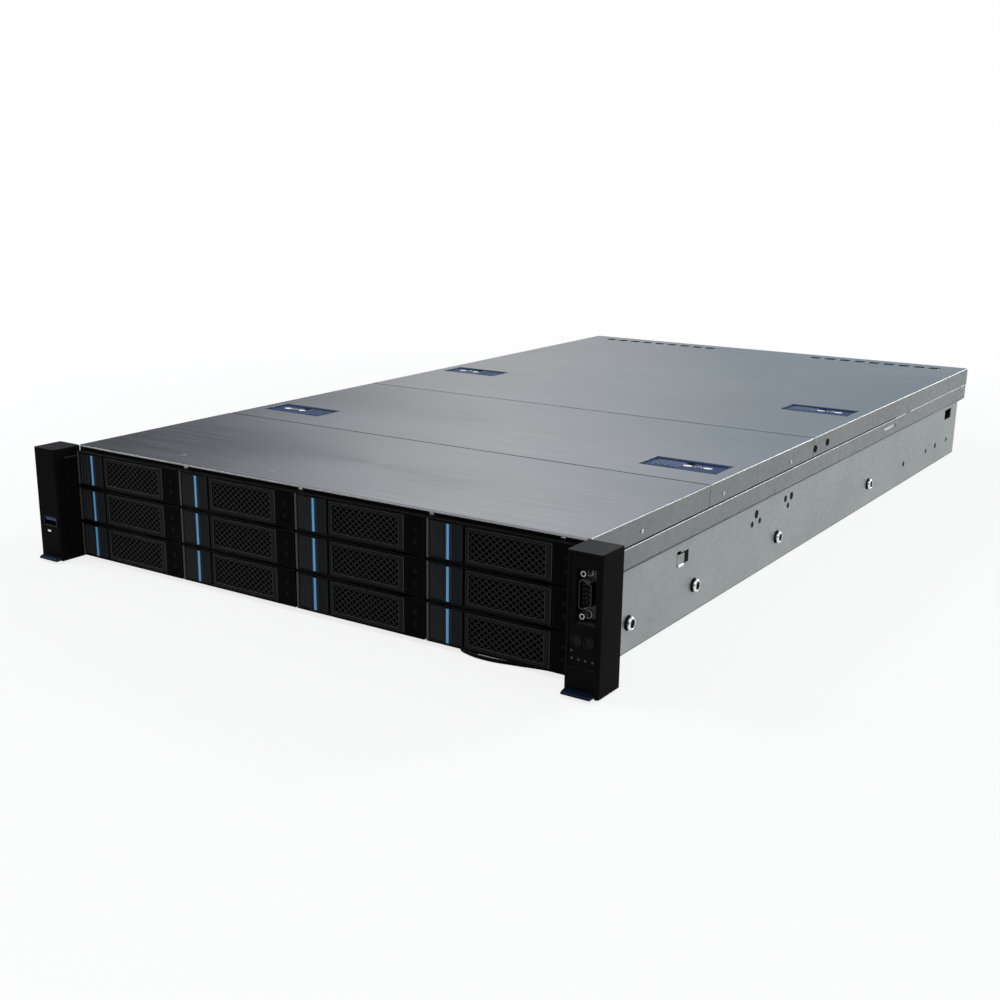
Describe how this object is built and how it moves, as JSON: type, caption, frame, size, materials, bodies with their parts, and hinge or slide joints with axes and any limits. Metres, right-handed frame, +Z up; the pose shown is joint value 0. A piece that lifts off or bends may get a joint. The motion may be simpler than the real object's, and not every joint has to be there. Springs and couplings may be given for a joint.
{
  "type": "2u rack server",
  "caption": "Two-unit rack server: steel chassis, drive carriers with mesh levers, ears with controls, lift-off covers, fans, board and hot-swap power supplies.",
  "frame": {"origin": "under the middle of the machine's whole box, on the plane of the bottom sheet", "axes": "+Z up, +X to the right seen from the front, the front faces -Y"},
  "size_m": [0.4826, 0.831, 0.087],
  "materials": {
    "galvanised": "brushed",
    "cover_steel": "brushed",
    "cage_black": "matte",
    "ear_black": "matte",
    "carrier_black": "satin",
    "lever_black": "satin",
    "latch_blue": "satin",
    "tab_blue": "satin",
    "tag_black": "satin",
    "button_dark": "satin",
    "port_metal": "polished",
    "stud_metal": "polished",
    "board_green": "satin",
    "fin_aluminium": "machined",
    "module_green": "satin",
    "duct_black": "matte",
    "fan_black": "matte",
    "impeller_black": "satin",
    "supply_steel": "satin",
    "supply_latch_blue": "satin"
  },
  "bodies": {
    "chassis": {"chassis_pan": "galvanised", "rail_studs": "stud_metal", "drive_cage": "cage_black", "backplane": "board_green", "front_cover": "cover_steel", "left_ear": "ear_black", "right_ear": "ear_black", "front_ports": "port_metal", "fan_wall": "galvanised", "fan_frames": "fan_black", "main_board": "board_green", "heat_sinks": "fin_aluminium", "memory_modules": "module_green", "air_duct": "duct_black", "riser_cages": "galvanised", "rear_panel": "galvanised", "slot_blanks": "galvanised"},
    "drive_carrier_01": {"drive_carrier_01": "carrier_black"},
    "carrier_lever_01": {"carrier_lever_01": "lever_black"},
    "drive_carrier_02": {"drive_carrier_02": "carrier_black"},
    "carrier_lever_02": {"carrier_lever_02": "lever_black"},
    "drive_carrier_03": {"drive_carrier_03": "carrier_black"},
    "carrier_lever_03": {"carrier_lever_03": "lever_black"},
    "drive_carrier_04": {"drive_carrier_04": "carrier_black"},
    "carrier_lever_04": {"carrier_lever_04": "lever_black"},
    "drive_carrier_05": {"drive_carrier_05": "carrier_black"},
    "carrier_lever_05": {"carrier_lever_05": "lever_black"},
    "drive_carrier_06": {"drive_carrier_06": "carrier_black"},
    "carrier_lever_06": {"carrier_lever_06": "lever_black"},
    "drive_carrier_07": {"drive_carrier_07": "carrier_black"},
    "carrier_lever_07": {"carrier_lever_07": "lever_black"},
    "drive_carrier_08": {"drive_carrier_08": "carrier_black"},
    "carrier_lever_08": {"carrier_lever_08": "lever_black"},
    "drive_carrier_09": {"drive_carrier_09": "carrier_black"},
    "carrier_lever_09": {"carrier_lever_09": "lever_black"},
    "drive_carrier_10": {"drive_carrier_10": "carrier_black"},
    "carrier_lever_10": {"carrier_lever_10": "lever_black"},
    "drive_carrier_11": {"drive_carrier_11": "carrier_black"},
    "carrier_lever_11": {"carrier_lever_11": "lever_black"},
    "drive_carrier_12": {"drive_carrier_12": "carrier_black"},
    "carrier_lever_12": {"carrier_lever_12": "lever_black"},
    "middle_cover": {"middle_cover": "cover_steel"},
    "rear_cover": {"rear_cover": "cover_steel"},
    "cover_latch_1": {"cover_latch_1": "latch_blue"},
    "cover_latch_2": {"cover_latch_2": "latch_blue"},
    "cover_latch_3": {"cover_latch_3": "latch_blue"},
    "cover_latch_4": {"cover_latch_4": "latch_blue"},
    "left_pull_tab": {"left_pull_tab": "tab_blue"},
    "right_pull_tab": {"right_pull_tab": "tab_blue"},
    "power_button": {"power_button": "button_dark"},
    "locate_button": {"locate_button": "button_dark"},
    "info_tag": {"info_tag": "tag_black"},
    "power_supply_1": {"power_supply_1": "supply_steel"},
    "supply_latch_1": {"supply_latch_1": "supply_latch_blue"},
    "power_supply_2": {"power_supply_2": "supply_steel"},
    "supply_latch_2": {"supply_latch_2": "supply_latch_blue"},
    "fan_impeller_1": {"fan_impeller_1": "impeller_black"},
    "fan_impeller_2": {"fan_impeller_2": "impeller_black"},
    "fan_impeller_3": {"fan_impeller_3": "impeller_black"},
    "fan_impeller_4": {"fan_impeller_4": "impeller_black"}
  },
  "joints": [
    {"name": "carrier_01_slide", "type": "slide", "parent": "chassis", "child": "drive_carrier_01", "axis": [0, -1, 0], "range_m": [0, 0.15]},
    {"name": "lever_01_hinge", "type": "hinge", "parent": "drive_carrier_01", "child": "carrier_lever_01", "pos_m": [-0.1254, -0.3915, 0.0708], "axis": [0, 0, 1], "range_deg": [0, 50]},
    {"name": "middle_cover_lift", "type": "slide", "parent": "chassis", "child": "middle_cover", "axis": [0, 0, 1], "range_m": [0, 0.12]},
    {"name": "rear_cover_lift", "type": "slide", "parent": "chassis", "child": "rear_cover", "axis": [0, 0, 1], "range_m": [0, 0.12]},
    {"name": "cover_latch_1_hinge", "type": "hinge", "parent": "middle_cover", "child": "cover_latch_1", "pos_m": [-0.18, -0.1661, 0.085], "axis": [-1, 0, 0], "range_deg": [0, 65]},
    {"name": "cover_latch_3_hinge", "type": "hinge", "parent": "rear_cover", "child": "cover_latch_3", "pos_m": [-0.18, 0.0994, 0.085], "axis": [-1, 0, 0], "range_deg": [0, 65]},
    {"name": "left_pull_tab_slide", "type": "slide", "parent": "chassis", "child": "left_pull_tab", "axis": [0, -1, 0], "range_m": [0, 0.005], "stiffness_N_per_m": 300},
    {"name": "right_pull_tab_slide", "type": "slide", "parent": "chassis", "child": "right_pull_tab", "axis": [0, -1, 0], "range_m": [0, 0.005], "stiffness_N_per_m": 300},
    {"name": "power_button_press", "type": "slide", "parent": "chassis", "child": "power_button", "axis": [0, 1, 0], "range_m": [0, 0.0012], "stiffness_N_per_m": 250},
    {"name": "locate_button_press", "type": "slide", "parent": "chassis", "child": "locate_button", "axis": [0, 1, 0], "range_m": [0, 0.0012], "stiffness_N_per_m": 250},
    {"name": "info_tag_slide", "type": "slide", "parent": "chassis", "child": "info_tag", "axis": [0, -1, 0], "range_m": [0, 0.05]},
    {"name": "power_supply_1_slide", "type": "slide", "parent": "chassis", "child": "power_supply_1", "axis": [0, 1, 0], "range_m": [0, 0.19]},
    {"name": "supply_latch_1_press", "type": "slide", "parent": "power_supply_1", "child": "supply_latch_1", "axis": [-1, 0, 0], "range_m": [0, 0.002], "stiffness_N_per_m": 250},
    {"name": "fan_impeller_1_spin", "type": "hinge", "parent": "chassis", "child": "fan_impeller_1", "pos_m": [-0.162, -0.1795, 0.0413], "axis": [0, 1, 0], "continuous": true},
    {"name": "power_supply_2_slide", "type": "slide", "parent": "chassis", "child": "power_supply_2", "axis": [0, 1, 0], "range_m": [0, 0.19]},
    {"name": "supply_latch_2_press", "type": "slide", "parent": "power_supply_2", "child": "supply_latch_2", "axis": [-1, 0, 0], "range_m": [0, 0.002], "stiffness_N_per_m": 250},
    {"name": "cover_latch_2_hinge", "type": "hinge", "parent": "middle_cover", "child": "cover_latch_2", "pos_m": [0.18, -0.1661, 0.085], "axis": [-1, 0, 0], "range_deg": [0, 65]},
    {"name": "cover_latch_4_hinge", "type": "hinge", "parent": "rear_cover", "child": "cover_latch_4", "pos_m": [0.18, 0.0994, 0.085], "axis": [-1, 0, 0], "range_deg": [0, 65]},
    {"name": "carrier_12_slide", "type": "slide", "parent": "chassis", "child": "drive_carrier_12", "axis": [0, -1, 0], "range_m": [0, 0.15]},
    {"name": "lever_12_hinge", "type": "hinge", "parent": "drive_carrier_12", "child": "carrier_lever_12", "pos_m": [0.1974, -0.3915, 0.0164], "axis": [0, 0, 1], "range_deg": [0, 50]},
    {"name": "carrier_02_slide", "type": "slide", "parent": "chassis", "child": "drive_carrier_02", "axis": [0, -1, 0], "range_m": [0, 0.15]},
    {"name": "lever_02_hinge", "type": "hinge", "parent": "drive_carrier_02", "child": "carrier_lever_02", "pos_m": [-0.0178, -0.3915, 0.0708], "axis": [0, 0, 1], "range_deg": [0, 50]},
    {"name": "carrier_03_slide", "type": "slide", "parent": "chassis", "child": "drive_carrier_03", "axis": [0, -1, 0], "range_m": [0, 0.15]},
    {"name": "lever_03_hinge", "type": "hinge", "parent": "drive_carrier_03", "child": "carrier_lever_03", "pos_m": [0.0898, -0.3915, 0.0708], "axis": [0, 0, 1], "range_deg": [0, 50]},
    {"name": "carrier_04_slide", "type": "slide", "parent": "chassis", "child": "drive_carrier_04", "axis": [0, -1, 0], "range_m": [0, 0.15]},
    {"name": "lever_04_hinge", "type": "hinge", "parent": "drive_carrier_04", "child": "carrier_lever_04", "pos_m": [0.1974, -0.3915, 0.0708], "axis": [0, 0, 1], "range_deg": [0, 50]},
    {"name": "carrier_05_slide", "type": "slide", "parent": "chassis", "child": "drive_carrier_05", "axis": [0, -1, 0], "range_m": [0, 0.15]},
    {"name": "lever_05_hinge", "type": "hinge", "parent": "drive_carrier_05", "child": "carrier_lever_05", "pos_m": [-0.1254, -0.3915, 0.0436], "axis": [0, 0, 1], "range_deg": [0, 50]},
    {"name": "carrier_06_slide", "type": "slide", "parent": "chassis", "child": "drive_carrier_06", "axis": [0, -1, 0], "range_m": [0, 0.15]},
    {"name": "lever_06_hinge", "type": "hinge", "parent": "drive_carrier_06", "child": "carrier_lever_06", "pos_m": [-0.0178, -0.3915, 0.0436], "axis": [0, 0, 1], "range_deg": [0, 50]},
    {"name": "carrier_07_slide", "type": "slide", "parent": "chassis", "child": "drive_carrier_07", "axis": [0, -1, 0], "range_m": [0, 0.15]},
    {"name": "lever_07_hinge", "type": "hinge", "parent": "drive_carrier_07", "child": "carrier_lever_07", "pos_m": [0.0898, -0.3915, 0.0436], "axis": [0, 0, 1], "range_deg": [0, 50]},
    {"name": "carrier_08_slide", "type": "slide", "parent": "chassis", "child": "drive_carrier_08", "axis": [0, -1, 0], "range_m": [0, 0.15]},
    {"name": "lever_08_hinge", "type": "hinge", "parent": "drive_carrier_08", "child": "carrier_lever_08", "pos_m": [0.1974, -0.3915, 0.0436], "axis": [0, 0, 1], "range_deg": [0, 50]},
    {"name": "carrier_09_slide", "type": "slide", "parent": "chassis", "child": "drive_carrier_09", "axis": [0, -1, 0], "range_m": [0, 0.15]},
    {"name": "lever_09_hinge", "type": "hinge", "parent": "drive_carrier_09", "child": "carrier_lever_09", "pos_m": [-0.1254, -0.3915, 0.0164], "axis": [0, 0, 1], "range_deg": [0, 50]},
    {"name": "carrier_10_slide", "type": "slide", "parent": "chassis", "child": "drive_carrier_10", "axis": [0, -1, 0], "range_m": [0, 0.15]},
    {"name": "lever_10_hinge", "type": "hinge", "parent": "drive_carrier_10", "child": "carrier_lever_10", "pos_m": [-0.0178, -0.3915, 0.0164], "axis": [0, 0, 1], "range_deg": [0, 50]},
    {"name": "carrier_11_slide", "type": "slide", "parent": "chassis", "child": "drive_carrier_11", "axis": [0, -1, 0], "range_m": [0, 0.15]},
    {"name": "lever_11_hinge", "type": "hinge", "parent": "drive_carrier_11", "child": "carrier_lever_11", "pos_m": [0.0898, -0.3915, 0.0164], "axis": [0, 0, 1], "range_deg": [0, 50]},
    {"name": "fan_impeller_2_spin", "type": "hinge", "parent": "chassis", "child": "fan_impeller_2", "pos_m": [-0.054, -0.1795, 0.0413], "axis": [0, 1, 0], "continuous": true},
    {"name": "fan_impeller_3_spin", "type": "hinge", "parent": "chassis", "child": "fan_impeller_3", "pos_m": [0.054, -0.1795, 0.0413], "axis": [0, 1, 0], "continuous": true},
    {"name": "fan_impeller_4_spin", "type": "hinge", "parent": "chassis", "child": "fan_impeller_4", "pos_m": [0.162, -0.1795, 0.0413], "axis": [0, 1, 0], "continuous": true}
  ]
}
